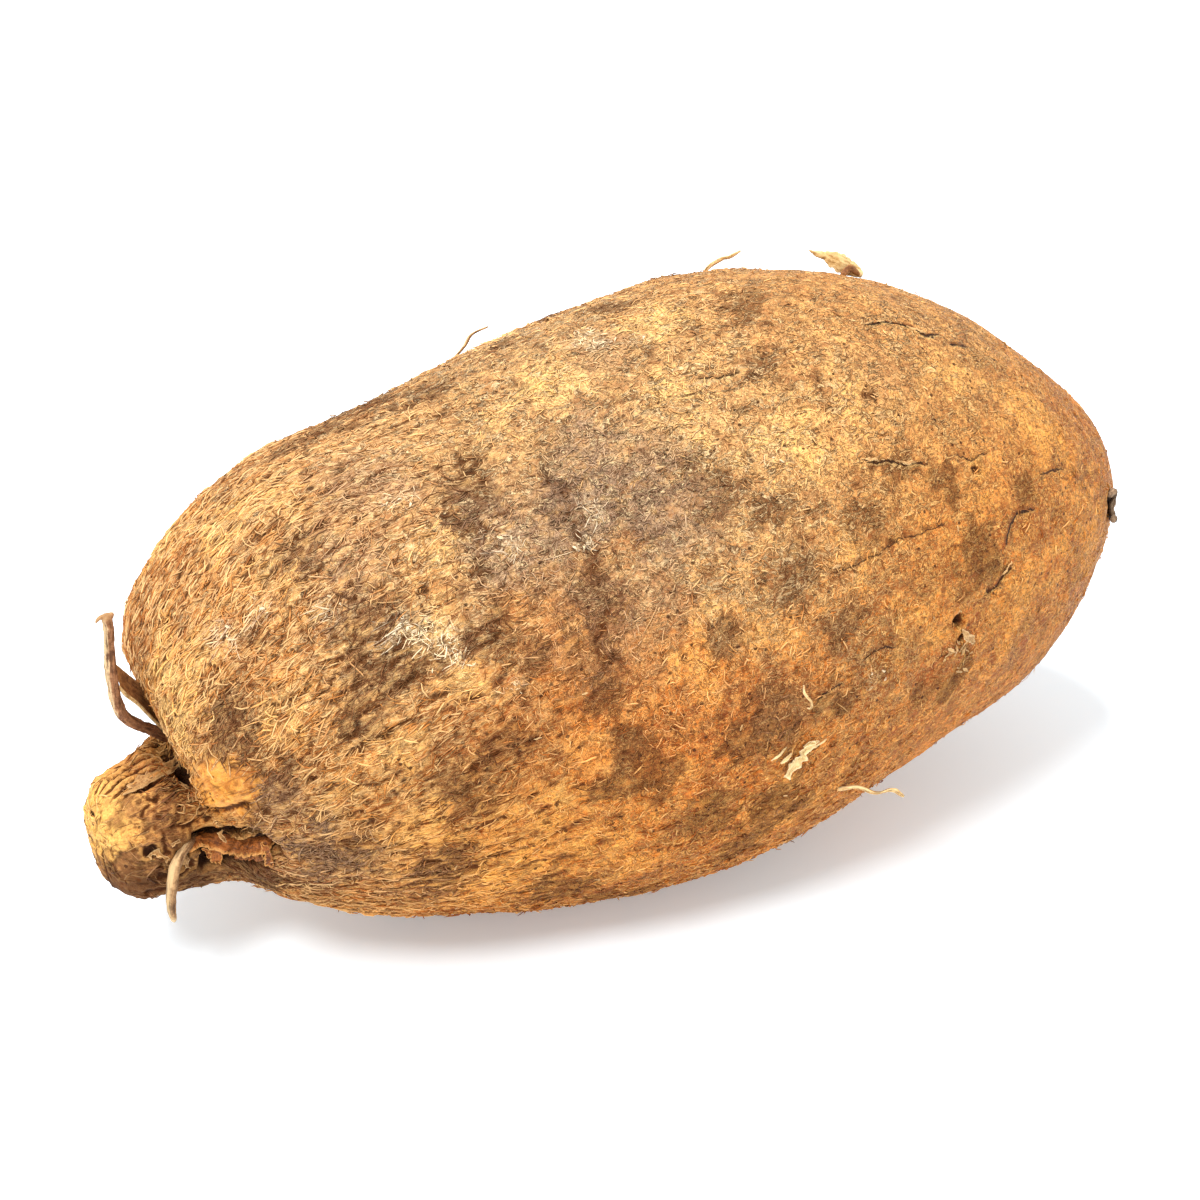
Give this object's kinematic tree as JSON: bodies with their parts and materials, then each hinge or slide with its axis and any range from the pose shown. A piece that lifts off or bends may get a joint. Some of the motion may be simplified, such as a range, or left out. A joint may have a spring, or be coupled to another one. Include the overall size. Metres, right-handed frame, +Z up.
{
  "type": "yam",
  "caption": "Whole brown yam tuber lying on its side, with its old crown knob, dried roots and loose papery skin.",
  "frame": {"origin": "on the surface that the yam lies on, under the middle of its outer box", "axes": "+X along the tuber towards its tail end, with the crown at -X; +Z up"},
  "size_m": [0.2296, 0.1186, 0.1168],
  "materials": {
    "skin": "dry, rough, fibrous bark-like skin",
    "dried_root": "dry, wrinkled root",
    "papery_skin": "dry, papery"
  },
  "bodies": {
    "root": {"tuber": "skin", "forked_root": "dried_root", "cut_root": "dried_root", "top_rootlet": "dried_root", "shoulder_rootlet": "dried_root", "floor_rootlet": "dried_root", "side_rootlet": "dried_root", "crown_husk": "papery_skin", "top_flap": "papery_skin", "skin_flake": "papery_skin", "tail_rim": "papery_skin"}
  },
  "joints": []
}
